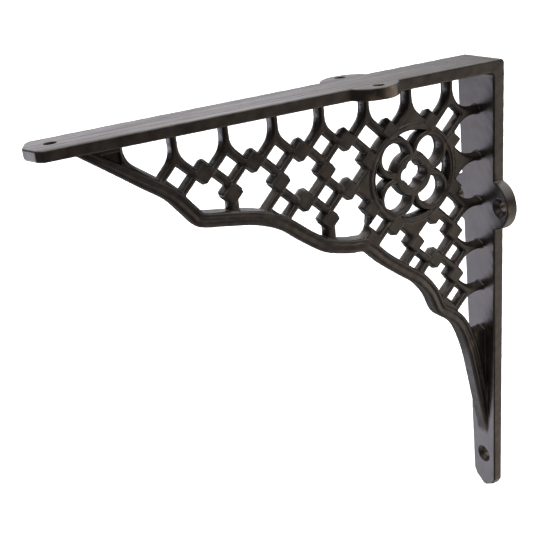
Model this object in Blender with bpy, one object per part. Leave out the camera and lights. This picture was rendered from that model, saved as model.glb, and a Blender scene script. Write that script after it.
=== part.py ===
"""Ornate cast iron shelf bracket, one casting.

X is the width, the wall is the plane Y = 0 and the arm runs out towards -Y, Z is up.
The origin is in the middle of the wall plate's back face. Sizes are millimetres.
"""
import bmesh
import bpy
import math

MM = 0.001
ROOT2 = math.sqrt(2.0)

# The tracery is drawn on a square net of 12.7 mm steps, counted from the first post under the arm.
STEP = 12.7
NET_ORIGIN_Y = -178.1
NET_ORIGIN_DROP = 14.2

# Wall plate and arm.
PLATE_HEIGHT = 265.0
PLATE_THICKNESS = 7.1
PLATE_THICKNESS_FOOT = 5.6
PLATE_HALF_TOP = 14.9
PLATE_HALF_FOOT = 9.4
FOOT_NOSE = 7.6
FOOT_NOSE_FLAT = 0.8
ARM_LENGTH = 243.2
ARM_THICKNESS = 6.4
ARM_THICKNESS_TIP = 5.2
ARM_HALF_ROOT = 14.9
ARM_HALF_TIP = 12.7
TIP_NOSE = 5.4
TIP_NOSE_FLAT = 1.5
NOSE_BEND_ACROSS = 0.78
NOSE_BEND_ALONG = 0.48
HEEL_RADIUS = 2.6

# Screw ears and screw holes.
EAR_DISTANCE = 78.2
EAR_CENTRE = 10.2
EAR_RADIUS = 14.0
EAR_HOLE_OFFSET = 17.5
HOLE_DIAMETER = 5.6
SINK_DIAMETER = 10.2
SINK_DEPTH = 2.2
TIP_HOLE_OUT = 231.5
FOOT_HOLE_DROP = 242.6

# Web, tracery bars and bosses.
WEB_THICKNESS = 7.2
WEB_INSET_Y = 1.2
WEB_INSET_Z = 1.6
POST_WIDTH = 3.0
RHOMBUS_HALF = 6.0
RHOMBUS_RADIUS = 1.0
RHOMBUS_RUN = 5.6
FRAME_OUTER = 7.5
STUD_HALF = 5.3
STUD_RAISE = 0.5
STUD_LAP = 0.4
STUD_FOOT_HALF = 1.7
CUSP_RADIUS = 0.7
VALLEY_RADIUS = 1.5
BOWL_RADIUS = 12.4
ARM_BOWL_MOUTH = 11.0
WALL_BOWL_MOUTH = 9.5
LAST_BOWL_DROP = 2.5
TIP_PANEL_DEPTH = 0.8
CUTTER_HALF = 20.0

# Rosette.
ROSETTE_U = 10.0
ROSETTE_V = 3.0
RING_OUTER = 26.7
RING_INNER = 23.1
RING_RAISE = 0.4
RING_PARTS = 72
LOBE_CENTRE = 10.55
LOBE_INNER = 7.9
LOBE_OUTER = 10.9
HUB_OUTER = 11.3
HUB_LOBE_CENTRE = 3.6
HUB_LOBE_RADIUS = 4.3

# Lower rib.
RIB_WIDTH = 9.2
RIB_BAND_TIP = 3.6
RIB_BAND = 6.2
RIB_SWELL_POINTS = 15

# Worked out from the sizes above.
TOP = PLATE_HEIGHT / 2.0
WEB_HALF = WEB_THICKNESS / 2.0
LOBE_APART = ROOT2 * LOBE_CENTRE

# Half sizes that the large openings share: to a post, over a slanting side, to a boss and into a valley.
POST_SIDE = STEP - POST_WIDTH / 2.0
SLANT_REACH = 2.0 * STEP - ROOT2 * FRAME_OUTER
CUSP_REACH = STEP - STUD_HALF + STUD_LAP
VALLEY = (SLANT_REACH - CUSP_REACH) / 2.0

# Places of what repeats, in net steps.
CELLS = ((1, 2), (3, 2), (5, 2), (7, 2), (5, 4), (7, 4), (9, 6), (11, 6), (11, 8))
ARM_BOWLS = (-1, 1, 3, 5, 7, 9, 11)
WALL_BOWLS = (2, 4, 6, 8, 10)
RHOMBI = ((0, 1), (2, 1), (4, 1), (6, 1), (4, 3), (6, 3), (10, 7), (12, 7), (12, 9))
STUDS = (
    (1, 1), (3, 1), (5, 1), (7, 1), (9, 1), (11, 1), (2, 2), (4, 2), (6, 2), (8, 2), (12, 2),
    (5, 3), (7, 3), (6, 4), (8, 4), (12, 4), (9, 5), (11, 5), (10, 6), (12, 6), (11, 7), (12, 8),
)

# Bosses that stand on the rib by a short foot.
FOOTED_STUDS = ((2, 2), (6, 4))

# Outer edge of the lower rib from the tip to the foot, in net steps: two ogee swags and a long tail.
RIB_KNOTS = (
    (-4.25, -1.14), (-3.39, -0.48), (-2.48, 0.21), (-1.53, 0.95), (-0.58, 1.68), (0.06, 2.47),
    (0.50, 2.94), (1.58, 3.17), (2.82, 3.44), (3.79, 3.88), (4.78, 4.68), (5.66, 5.28),
    (6.76, 5.62), (7.48, 5.76), (8.29, 6.55), (9.31, 7.39), (9.99, 7.93), (10.53, 8.64),
    (10.93, 9.56), (11.53, 10.04), (12.05, 10.62), (12.53, 11.84), (12.82, 13.09), (13.09, 14.49),
    (13.46, 16.18), (13.86, 17.37),
)

# Sunk three-sided panel where the web runs out under the arm, in net steps.
TIP_PANEL = ((-2.75, -0.42), (-2.0, -0.42), (-2.0, 0.12))


def net(u, v):
    """Side-view point (y, z) in mm of a net position counted in steps."""
    return (NET_ORIGIN_Y + STEP * u, TOP - NET_ORIGIN_DROP - STEP * v)


def polar(cy, cz, radius, degrees):
    """Side-view point on a circle."""
    angle = math.radians(degrees)
    return (cy + radius * math.cos(angle), cz + radius * math.sin(angle))


def arc(cy, cz, radius, start, end, parts):
    """Side-view points along an arc, both ends included."""
    return [polar(cy, cz, radius, start + (end - start) * i / parts) for i in range(parts + 1)]


def rounded(points, radii, parts=3):
    """Closed outline with each corner replaced by an arc of its own radius."""
    found = []
    count = len(points)
    for i, (x, y) in enumerate(points):
        radius = radii[i % len(radii)]
        px, py = points[i - 1]
        nx, ny = points[(i + 1) % count]
        ax, ay = px - x, py - y
        bx, by = nx - x, ny - y
        la, lb = math.hypot(ax, ay), math.hypot(bx, by)
        ax, ay, bx, by = ax / la, ay / la, bx / lb, by / lb
        half = math.acos(max(-1.0, min(1.0, ax * bx + ay * by))) / 2.0
        if radius <= 0.0 or half > math.radians(88.0):
            found.append((x, y))
            continue
        reach = min(radius / math.tan(half), 0.49 * la, 0.49 * lb)
        radius = reach * math.tan(half)
        mx, my = ax + bx, ay + by
        lm = math.hypot(mx, my)
        cx, cy = x + mx / lm * radius / math.sin(half), y + my / lm * radius / math.sin(half)
        start = math.atan2(y + ay * reach - cy, x + ax * reach - cx)
        end = math.atan2(y + by * reach - cy, x + bx * reach - cx)
        turn = (end - start + math.pi) % (2.0 * math.pi) - math.pi
        for k in range(parts + 1):
            angle = start + turn * k / parts
            found.append((cx + radius * math.cos(angle), cy + radius * math.sin(angle)))
    return found


def cell_outline(u, v):
    """Large opening: four slanting sides, with a boss's corner in each corner that has a boss.

    Under a boss that stands on the rib the slanting side is left out, so that only a foot is left.
    """
    cy, cz = net(u, v)
    deep, foot = CUSP_REACH + VALLEY, STEP - STUD_FOOT_HALF
    corners, radii = [], []
    for du, dv in ((1, 0), (0, -1), (-1, 0), (0, 1)):
        shape = [(deep, -VALLEY), (CUSP_REACH, 0.0), (deep, VALLEY)]
        if (u + du, v + dv) in FOOTED_STUDS:
            shape[1 - du] = (foot, -du * SLANT_REACH)
        elif (u + du, v + dv) not in STUDS:
            shape = [(SLANT_REACH, 0.0)]
        radii += (VALLEY_RADIUS, CUSP_RADIUS, VALLEY_RADIUS)[: len(shape)]
        corners += [(cy + a * du + b * dv, cz + b * du - a * dv) for a, b in shape]
    return rounded(corners, radii, 2)


def bowl_shape(mouth, drop, stud):
    """Scallop as (across, deep): straight sides from its mouth, slanting flanks, a boss's corner below.

    drop widens one side, for the last bowl over the rib; stud is the boss's place on the net. Where it
    has none, the flanks run on to a point that the rib covers.
    """
    depth, deep = SLANT_REACH - POST_SIDE, CUSP_REACH + VALLEY
    low = [(-VALLEY, deep), (0.0, CUSP_REACH), (VALLEY, deep)] if stud in STUDS else [(0.0, SLANT_REACH)]
    return ([(-POST_SIDE, -mouth), (-POST_SIDE, depth)] + low
            + [(POST_SIDE + drop, depth), (POST_SIDE + drop, -mouth)])


def bowl_outline(points):
    """Scallop with its corners rounded."""
    low = (VALLEY_RADIUS, CUSP_RADIUS, VALLEY_RADIUS)[: len(points) - 4]
    return rounded(points, (0.0, BOWL_RADIUS, *low, BOWL_RADIUS, 0.0), 4)


def arm_bowl(u):
    """Scallop that opens up to the arm."""
    cy, cz = net(u, 0.0)
    return bowl_outline([(cy + a, cz - b) for a, b in bowl_shape(ARM_BOWL_MOUTH, 0.0, (u, 1))])


def wall_bowl(v):
    """Scallop that opens towards the wall plate."""
    cy, cz = net(13.0, v)
    drop = LAST_BOWL_DROP if v == WALL_BOWLS[-1] else 0.0
    return bowl_outline([(cy - b, cz - a) for a, b in bowl_shape(WALL_BOWL_MOUTH, drop, (12, v))])


def corner_outline():
    """Opening in the corner between the arm and the wall plate."""
    cy, cz = net(13.0, 0.0)
    depth = SLANT_REACH - POST_SIDE
    points = [(cy - POST_SIDE, cz + ARM_BOWL_MOUTH), (cy - POST_SIDE, cz - depth)]
    points += [(cy - depth, cz - POST_SIDE), (cy + ARM_BOWL_MOUTH, cz - POST_SIDE)]
    points.append((cy + ARM_BOWL_MOUTH, cz + ARM_BOWL_MOUTH))
    return rounded(points, (0.0, BOWL_RADIUS, BOWL_RADIUS, 0.0, 0.0), 4)


def rhombus_outline(u, v, run_u=0.0, run_v=0.0):
    """Small diamond opening, run on towards the rosette where run_u and run_v are given."""
    cy, cz = net(u, v)
    moved = []
    for a, b in ((-RHOMBUS_HALF, 0.0), (0.0, -RHOMBUS_HALF), (RHOMBUS_HALF, 0.0), (0.0, RHOMBUS_HALF)):
        if a * run_u + b * run_v > 0.0:
            a, b = a + run_u, b + run_v
        moved.append((cy + a, cz - b))
    return rounded(moved, (RHOMBUS_RADIUS,), 2)


def openings():
    """Every opening of the tracery except those of the rosette."""
    shapes = [cell_outline(u, v) for u, v in CELLS]
    shapes += [arm_bowl(u) for u in ARM_BOWLS]
    shapes += [wall_bowl(v) for v in WALL_BOWLS]
    shapes.append(corner_outline())
    shapes += [rhombus_outline(u, v) for u, v in RHOMBI]
    for su in (-1.0, 1.0):
        for sv in (-1.0, 1.0):
            u, v = ROSETTE_U + 2.0 * su, ROSETTE_V + 2.0 * sv
            shapes.append(rhombus_outline(u, v, -su * RHOMBUS_RUN, -sv * RHOMBUS_RUN))
    return shapes


def stud_outline(u, v):
    """Square boss on its corner."""
    cy, cz = net(u, v)
    corners = [(STUD_HALF, 0.0), (0.0, STUD_HALF), (-STUD_HALF, 0.0), (0.0, -STUD_HALF)]
    return rounded([(cy + a, cz + b) for a, b in corners], (CUSP_RADIUS,), 2)


def lobe_outline(su, sv):
    """Kidney opening of the rosette: a circle with the hub's edge taken out of it."""
    cy, cz = net(ROSETTE_U, ROSETTE_V)
    along = (HUB_OUTER ** 2 - LOBE_INNER ** 2 + LOBE_APART ** 2) / (2.0 * LOBE_APART)
    across = math.sqrt(HUB_OUTER ** 2 - along ** 2)
    lobe_half = math.degrees(math.atan2(across, along - LOBE_APART))
    hub_half = math.degrees(math.atan2(across, along))
    facing = math.degrees(math.atan2(-sv, su))
    ly, lz = cy + su * LOBE_CENTRE, cz - sv * LOBE_CENTRE
    outer = arc(ly, lz, LOBE_INNER, facing - lobe_half, facing + lobe_half, 18)
    inner = arc(cy, cz, HUB_OUTER, facing + hub_half, facing - hub_half, 8)
    return outer + inner[1:-1]


def spandrel_outline(facing):
    """Three-sided opening between the ring and two lobes."""
    cy, cz = net(ROSETTE_U, ROSETTE_V)
    along = (RING_INNER ** 2 - LOBE_OUTER ** 2 + LOBE_APART ** 2) / (2.0 * LOBE_APART)
    across = math.sqrt(RING_INNER ** 2 - along ** 2)
    ring_half = 45.0 - math.degrees(math.atan2(across, along))
    apex = LOBE_CENTRE + math.sqrt(LOBE_OUTER ** 2 - LOBE_CENTRE ** 2)
    lobe_start = math.degrees(math.atan2(-LOBE_CENTRE, apex - LOBE_CENTRE))
    tip_y, tip_z = polar(0.0, 0.0, RING_INNER, ring_half)
    lobe_end = math.degrees(math.atan2(tip_z - LOBE_CENTRE, tip_y - LOBE_CENTRE))
    upper = arc(LOBE_CENTRE, LOBE_CENTRE, LOBE_OUTER, lobe_start, lobe_end, 6)
    rim = arc(0.0, 0.0, RING_INNER, ring_half, -ring_half, 8)
    lower = [(a, -b) for a, b in reversed(upper)]
    c, s = math.cos(math.radians(facing)), math.sin(math.radians(facing))
    points = upper[:-1] + rim[1:-1] + lower[:-1]
    return [(cy + a * c - b * s, cz + a * s + b * c) for a, b in points]


def hub_outline(parts=40):
    """Small quatrefoil in the middle of the rosette."""
    cy, cz = net(ROSETTE_U, ROSETTE_V)
    points = []
    for i in range(parts):
        angle = 360.0 * i / parts
        off = math.radians((angle + 45.0) % 90.0 - 45.0)
        reach = math.sqrt(HUB_LOBE_RADIUS ** 2 - (HUB_LOBE_CENTRE * math.sin(off)) ** 2)
        points.append(polar(cy, cz, HUB_LOBE_CENTRE * math.cos(off) + reach, angle))
    return points


def rosette_openings():
    """Openings inside the ring."""
    shapes = [lobe_outline(su, sv) for su in (-1, 1) for sv in (-1, 1)]
    shapes += [spandrel_outline(facing) for facing in (0.0, 90.0, 180.0, 270.0)]
    shapes.append(hub_outline())
    return shapes


def smooth_curve(knots, parts):
    """Curve that passes through every knot."""
    points = []
    ends = [knots[0]] + list(knots) + [knots[-1]]
    for i in range(1, len(ends) - 2):
        p0, p1, p2, p3 = ends[i - 1:i + 3]
        for k in range(parts):
            t = k / parts
            row = []
            for a, b, c, d in zip(p0, p1, p2, p3):
                bend = (2.0 * a - 5.0 * b + 4.0 * c - d) * t * t
                row.append(0.5 * (2.0 * b + (c - a) * t + bend + (3.0 * b - a - 3.0 * c + d) * t ** 3))
            points.append(tuple(row))
    points.append(knots[-1])
    return points


def rib_edges():
    """Outer and inner edges of the rib band, both from the tip to the foot."""
    outer = [net(u, v) for u, v in smooth_curve(RIB_KNOTS, 3)]
    inner = []
    for i, (y, z) in enumerate(outer):
        ay, az = outer[max(i - 1, 0)]
        by, bz = outer[min(i + 1, len(outer) - 1)]
        length = math.hypot(by - ay, bz - az)
        band = RIB_BAND_TIP + (RIB_BAND - RIB_BAND_TIP) * min(1.0, i / RIB_SWELL_POINTS)
        inner.append((y - (bz - az) / length * band, z + (by - ay) / length * band))
    return outer, inner


def web_outline(outer):
    """Side view of the web before it is pierced, run into the flanges and the rib."""
    top = TOP - ARM_THICKNESS / 2.0
    wall = -PLATE_THICKNESS / 2.0
    inside = [(y + WEB_INSET_Y, z + WEB_INSET_Z) for y, z in outer]
    kept = [(y, z) for y, z in inside if z < top - 0.5 and y < wall - 0.5]
    return [(kept[0][0], top)] + kept + [(wall, kept[-1][1]), (wall, top)]


def rib_outline(outer, inner):
    """Side view of the rib band, its ends inside the flanges."""
    top = TOP - ARM_THICKNESS / 3.0
    wall = -PLATE_THICKNESS / 3.0
    low = [(y, z) for y, z in outer if z < top and y < wall]
    high = [(y, z) for y, z in inner if z < top and y < wall]
    foot = [(wall, low[-1][1]), (wall, high[-1][1])]
    return [(low[0][0], top)] + low + foot + high[::-1] + [(high[0][0], top)]


def area(points):
    """Signed area of a closed outline."""
    return sum(a[0] * b[1] - b[0] * a[1] for a, b in zip(points, points[1:] + points[:1])) / 2.0


def mesh_object(name, bm):
    """Object from a finished mesh, normals outwards."""
    bmesh.ops.recalc_face_normals(bm, faces=bm.faces)
    mesh = bpy.data.meshes.new(name)
    bm.to_mesh(mesh)
    bm.free()
    made = bpy.data.objects.new(name, mesh)
    bpy.context.scene.collection.objects.link(made)
    return made


def add_prism(bm, points, x0, x1):
    """Closed prism between two widths, over a side-view outline."""
    if area(points) < 0.0:
        points = points[::-1]
    low = [bm.verts.new((x0 * MM, y * MM, z * MM)) for y, z in points]
    high = [bm.verts.new((x1 * MM, y * MM, z * MM)) for y, z in points]
    bm.faces.new(low[::-1])
    bm.faces.new(high)
    for i in range(len(points)):
        j = (i + 1) % len(points)
        bm.faces.new((low[i], low[j], high[j], high[i]))


def prism_object(name, outlines, x0, x1):
    """One object holding a prism for each outline."""
    bm = bmesh.new()
    for points in outlines:
        add_prism(bm, points, x0, x1)
    return mesh_object(name, bm)


def loft_object(name, sections):
    """Closed body through equal-length closed sections of (x, y, z) points."""
    bm = bmesh.new()
    rows = [[bm.verts.new((x * MM, y * MM, z * MM)) for x, y, z in row] for row in sections]
    for a, b in zip(rows, rows[1:]):
        for i in range(len(a)):
            j = (i + 1) % len(a)
            bm.faces.new((a[i], a[j], b[j], b[i]))
    bm.faces.new(rows[0][::-1])
    bm.faces.new(rows[-1])
    return mesh_object(name, bm)


def arm_point(x, d, drop):
    """Point of the arm, d out from the wall and drop below the shelf face."""
    return (x, -d, TOP - drop)


def plate_point(x, d, out):
    """Point of the wall plate, d down from the top and out from the wall."""
    return (x, -out, TOP - d)


def arm_thickness(d):
    """The arm's thickness d out from the wall; it thins towards the tip."""
    along = (d - PLATE_THICKNESS) / (ARM_LENGTH - PLATE_THICKNESS)
    return ARM_THICKNESS + (ARM_THICKNESS_TIP - ARM_THICKNESS) * along


def plate_thickness(d):
    """The wall plate's thickness d down from the top; it thins towards the foot."""
    along = (d - ARM_THICKNESS) / (PLATE_HEIGHT - ARM_THICKNESS)
    return PLATE_THICKNESS + (PLATE_THICKNESS_FOOT - PLATE_THICKNESS) * along


def ear_edge(start, half_root, slope, parts):
    """Round edge of a screw ear, from where it leaves the flange's side to where it meets it again."""
    ends = []
    for sign in (-1.0, 1.0):
        d = EAR_DISTANCE + sign * EAR_RADIUS
        for _ in range(8):
            out = half_root + slope * (d - start) - EAR_CENTRE
            d = EAR_DISTANCE + sign * math.sqrt(EAR_RADIUS**2 - out**2)
        ends.append(math.degrees(math.atan2(d - EAR_DISTANCE, out)))
    return arc(EAR_CENTRE, EAR_DISTANCE, EAR_RADIUS, ends[0], ends[1], parts)


def flange_plan(start, length, half_root, half_end, nose, nose_flat, parts=20):
    """Plan of a flange with its two screw ears, as (x, distance from the corner), from side to side."""
    slope = (half_end - half_root) / (length - nose - start)
    side = [(half_root, start)] + ear_edge(start, half_root, slope, parts) + [(half_end, length - nose)]
    side += [(half_end * NOSE_BEND_ACROSS, length - nose + nose * NOSE_BEND_ALONG), (nose_flat, length)]
    return side + [(-x, d) for x, d in reversed(side)]


def flange_body():
    """Arm and wall plate as one bent flange, meeting in a square corner block with a rounded heel."""
    bm = bmesh.new()
    arm = flange_plan(PLATE_THICKNESS, ARM_LENGTH, ARM_HALF_ROOT, ARM_HALF_TIP, TIP_NOSE, TIP_NOSE_FLAT)
    plate = flange_plan(
        ARM_THICKNESS, PLATE_HEIGHT, PLATE_HALF_TOP, PLATE_HALF_FOOT, FOOT_NOSE, FOOT_NOSE_FLAT)

    def vertex(x, y, z):
        return bm.verts.new((x * MM, y * MM, z * MM))

    over = [vertex(*arm_point(x, d, 0.0)) for x, d in arm]
    under = [vertex(*arm_point(x, d, arm_thickness(d))) for x, d in arm]
    inner = [vertex(*plate_point(x, d, plate_thickness(d))) for x, d in plate[1:-1]]
    front = [under[0]] + inner + [under[-1]]
    back = [vertex(*plate_point(x, d, 0.0)) for x, d in plate]
    heel = arc(-HEEL_RADIUS, TOP - HEEL_RADIUS, HEEL_RADIUS, 90.0, 0.0, 6)
    right = [over[0]] + [vertex(ARM_HALF_ROOT, y, z) for y, z in heel] + [back[0]]
    left = [over[-1]] + [vertex(-ARM_HALF_ROOT, y, z) for y, z in heel] + [back[-1]]
    bm.faces.new(over)
    bm.faces.new(under[::-1])
    bm.faces.new(front)
    bm.faces.new(back[::-1])
    for high, low in ((over, under), (front, back)):
        for i in range(len(high) - 1):
            bm.faces.new((high[i], high[i + 1], low[i + 1], low[i]))
    bm.faces.new(right + [under[0]])
    bm.faces.new(left[::-1] + [under[-1]])
    for i in range(len(right) - 1):
        bm.faces.new((right[i], right[i + 1], left[i + 1], left[i]))
    return mesh_object('flanges', bm)


def screw_cutter(x, d, place, thickness):
    """Screw hole through a flange, countersunk on the bracket's inner side, where the screw goes in."""
    r, s = HOLE_DIAMETER / 2.0, SINK_DIAMETER / 2.0
    sections = []
    for radius, depth in ((r, -1.0), (r, thickness - SINK_DEPTH), (s, thickness), (s, thickness + 3.0)):
        sections.append([place(a, b, depth) for a, b in arc(x, d, radius, 0.0, 345.0, 23)])
    return loft_object('screw hole', sections)


def boolean(target, other, operation):
    """Applies one Boolean and removes the tool."""
    other.hide_render = True
    other.display_type = 'WIRE'
    modifier = target.modifiers.new(operation.lower(), 'BOOLEAN')
    modifier.object = other
    modifier.operation = operation
    modifier.solver = 'EXACT'
    bpy.context.view_layer.objects.active = target
    bpy.ops.object.modifier_apply(modifier=modifier.name)
    mesh = other.data
    bpy.data.objects.remove(other)
    bpy.data.meshes.remove(mesh)


def build_web(outer):
    """Pierced web with its bosses and the rosette."""
    web = prism_object('web', [web_outline(outer)], -WEB_HALF, WEB_HALF)
    boolean(web, prism_object('openings', openings(), -CUTTER_HALF, CUTTER_HALF), 'DIFFERENCE')
    stud = WEB_HALF + STUD_RAISE
    boolean(web, prism_object('bosses', [stud_outline(u, v) for u, v in STUDS], -stud, stud), 'UNION')
    ring = WEB_HALF + RING_RAISE
    disc = arc(*net(ROSETTE_U, ROSETTE_V), RING_OUTER, 0.0, 360.0, RING_PARTS)[:-1]
    boolean(web, prism_object('disc', [disc], -ring, ring), 'UNION')
    boolean(web, prism_object('rosette', rosette_openings(), -CUTTER_HALF, CUTTER_HALF), 'DIFFERENCE')
    return web


def sink_tip_panels(body):
    """Three-sided sunk panel on both sides of the web's tip."""
    panel = rounded([net(u, v) for u, v in TIP_PANEL], (0.5,), 2)
    for side in (-1.0, 1.0):
        ends = sorted((side * (WEB_HALF - TIP_PANEL_DEPTH), side * CUTTER_HALF))
        boolean(body, prism_object('panel', [panel], *ends), 'DIFFERENCE')


def drill_screw_holes(body):
    """Screw holes in the four ears, the arm's tip and the plate's foot."""
    arm = [(-EAR_HOLE_OFFSET, EAR_DISTANCE), (EAR_HOLE_OFFSET, EAR_DISTANCE), (0.0, TIP_HOLE_OUT)]
    plate = [(-EAR_HOLE_OFFSET, EAR_DISTANCE), (EAR_HOLE_OFFSET, EAR_DISTANCE), (0.0, FOOT_HOLE_DROP)]
    for x, d in arm:
        boolean(body, screw_cutter(x, d, arm_point, arm_thickness(d)), 'DIFFERENCE')
    for x, d in plate:
        boolean(body, screw_cutter(x, d, plate_point, plate_thickness(d)), 'DIFFERENCE')


def build_bracket():
    """The whole casting."""
    outer, inner = rib_edges()
    body = build_web(outer)
    rib = RIB_WIDTH / 2.0
    boolean(body, prism_object('rib', [rib_outline(outer, inner)], -rib, rib), 'UNION')
    boolean(body, flange_body(), 'UNION')
    sink_tip_panels(body)
    drill_screw_holes(body)
    return body


def iron_material():
    """Dark satin cast iron."""
    made = bpy.data.materials.new('dark cast iron')
    made.use_nodes = True
    shader = made.node_tree.nodes['Principled BSDF']
    shader.inputs['Base Color'].default_value = (0.032, 0.026, 0.022, 1.0)
    shader.inputs['Metallic'].default_value = 0.35
    shader.inputs['Roughness'].default_value = 0.42
    return made


for old in list(bpy.data.objects):
    bpy.data.objects.remove(old)
bracket = build_bracket()
bracket.name = 'bracket_casting'
bracket.data.name = 'bracket_casting'
bracket.data.materials.clear()
bracket.data.materials.append(iron_material())
bracket.data.shade_smooth()
bracket.data.set_sharp_from_angle(angle=math.radians(32.0))
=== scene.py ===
"""Ornate cast iron shelf bracket: the visual model around its packed casting.

X is the width, the wall is the plane Y = 0, the arm runs out towards -Y and Z is up.
The classes that shape the casting count in millimetres, Blender's objects in metres.
"""
from __future__ import annotations

import logging
import math
from collections.abc import Callable, Sequence
from dataclasses import dataclass, field
from enum import Enum

import bpy
import numpy as np
from mathutils import Matrix, Vector


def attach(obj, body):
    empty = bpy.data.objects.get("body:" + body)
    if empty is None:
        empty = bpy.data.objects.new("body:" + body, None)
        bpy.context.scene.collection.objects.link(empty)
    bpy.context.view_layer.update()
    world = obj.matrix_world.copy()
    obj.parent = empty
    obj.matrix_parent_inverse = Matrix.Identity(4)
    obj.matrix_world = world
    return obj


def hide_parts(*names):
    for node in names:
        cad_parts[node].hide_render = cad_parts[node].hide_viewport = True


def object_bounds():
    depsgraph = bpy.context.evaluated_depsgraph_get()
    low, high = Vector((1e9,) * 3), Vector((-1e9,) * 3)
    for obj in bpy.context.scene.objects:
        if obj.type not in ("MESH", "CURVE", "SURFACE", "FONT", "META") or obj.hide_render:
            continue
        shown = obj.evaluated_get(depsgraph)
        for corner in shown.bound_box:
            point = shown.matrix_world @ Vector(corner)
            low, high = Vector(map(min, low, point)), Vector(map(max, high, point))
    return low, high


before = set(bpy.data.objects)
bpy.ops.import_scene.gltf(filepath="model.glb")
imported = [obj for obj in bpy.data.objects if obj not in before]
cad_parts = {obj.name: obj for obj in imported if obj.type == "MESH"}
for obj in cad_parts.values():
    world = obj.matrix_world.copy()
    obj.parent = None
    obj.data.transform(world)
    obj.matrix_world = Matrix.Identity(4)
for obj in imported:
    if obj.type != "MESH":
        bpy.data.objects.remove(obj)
CAD_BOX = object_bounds()

LOG = logging.getLogger("bracket")

MM = 0.001
ROOT2 = math.sqrt(2.0)
# Height of the shelf face above the middle of the wall plate.
TOP = 132.5
# Half angle from which a corner stays sharp, and the most of a side that a rounded corner takes.
STRAIGHT = math.radians(88.0)
MOST_OF_SIDE = 0.49
# Keeps a reading of a raster clear of its last line.
LAST_LINE = 1.001
# Keeps a division by a length from failing.
TINY = 1e-9

Tree = bpy.types.NodeTree
Socket = bpy.types.NodeSocket
Array = np.ndarray
Point = tuple[float, float]
Span = tuple[float, float]
Outline = list[Point]
Distance = Callable[[Array, Array, Array], Array]
Wave = tuple[float, float, float, float]
Spot = tuple[float, float, float, float]


def polar(cy: float, cz: float, radius: float, degrees: float) -> Point:
    """Side-view point on a circle."""
    angle = math.radians(degrees)
    return (cy + radius * math.cos(angle), cz + radius * math.sin(angle))


def arc(cy: float, cz: float, radius: float, start: float, end: float, parts: int) -> Outline:
    """Points along an arc, both ends included.

    Args:
        cy: centre, first coordinate.
        cz: centre, second coordinate.
        radius: radius of the arc.
        start: first angle in degrees.
        end: last angle in degrees.
        parts: number of steps.

    Returns:
        The points in order.
    """
    return [polar(cy, cz, radius, start + (end - start) * i / parts) for i in range(parts + 1)]


def rounded(points: Outline, radii: Sequence[float], parts: int = 6) -> Outline:
    """Closed outline with its corners rounded.

    Args:
        points: corners in order.
        radii: radius of each corner, repeated if there are fewer than corners.
        parts: steps along each rounded corner.

    Returns:
        The outline with an arc in place of each corner.
    """
    found: Outline = []
    count = len(points)
    for i, (x, y) in enumerate(points):
        radius = radii[i % len(radii)]
        px, py = points[i - 1]
        nx, ny = points[(i + 1) % count]
        ax, ay, bx, by = px - x, py - y, nx - x, ny - y
        la, lb = math.hypot(ax, ay), math.hypot(bx, by)
        ax, ay, bx, by = ax / la, ay / la, bx / lb, by / lb
        half = math.acos(max(-1.0, min(1.0, ax * bx + ay * by))) / 2.0
        if radius <= 0.0 or half > STRAIGHT:
            found.append((x, y))
            continue
        reach = min(radius / math.tan(half), MOST_OF_SIDE * la, MOST_OF_SIDE * lb)
        radius = reach * math.tan(half)
        mx, my = ax + bx, ay + by
        out = radius / math.sin(half) / math.hypot(mx, my)
        cx, cy = x + mx * out, y + my * out
        start = math.atan2(y + ay * reach - cy, x + ax * reach - cx)
        end = math.atan2(y + by * reach - cy, x + bx * reach - cx)
        turn = (end - start + math.pi) % (2.0 * math.pi) - math.pi
        for k in range(parts + 1):
            angle = start + turn * k / parts
            found.append((cx + radius * math.cos(angle), cy + radius * math.sin(angle)))
    return found


def smooth_curve(knots: Sequence[Point], parts: int) -> Outline:
    """Curve that passes through every knot.

    Args:
        knots: points that the curve passes through.
        parts: steps between two knots.

    Returns:
        The points of the curve.
    """
    points: Outline = []
    ends = [knots[0], *knots, knots[-1]]
    for i in range(1, len(ends) - 2):
        for k in range(parts):
            t = k / parts
            row = []
            for a, b, c, d in zip(*ends[i - 1 : i + 3]):
                bend = (2.0 * a - 5.0 * b + 4.0 * c - d) * t * t
                row.append(0.5 * (2.0 * b + (c - a) * t + bend + (3.0 * b - a - 3.0 * c + d) * t**3))
            points.append((row[0], row[1]))
    points.append(knots[-1])
    return points


def outline_distance(outline: Outline, a: Array, b: Array) -> Array:
    """Distance from points of a plane to a closed outline, negative inside it.

    Args:
        outline: corners in order.
        a: first coordinate of the points.
        b: second coordinate of the points.

    Returns:
        The signed distances, in the shape that a and b make together.
    """
    nearest = np.full(np.broadcast(a, b).shape, np.inf, np.float32)
    inside = np.zeros(nearest.shape, bool)
    for (ax, ay), (bx, by) in zip(outline, outline[-1:] + outline[:-1]):
        ex, ey = bx - ax, by - ay
        wx, wy = a - ax, b - ay
        t = np.clip((wx * ex + wy * ey) / (ex * ex + ey * ey), 0.0, 1.0)
        nearest = np.minimum(nearest, (wx - ex * t) ** 2 + (wy - ey * t) ** 2)
        above, below, left = b >= ay, b < by, ex * wy > ey * wx
        inside ^= (above & below & left) | ~(above | below | left)
    return np.where(inside, -1.0, 1.0).astype(np.float32) * np.sqrt(nearest)


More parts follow.
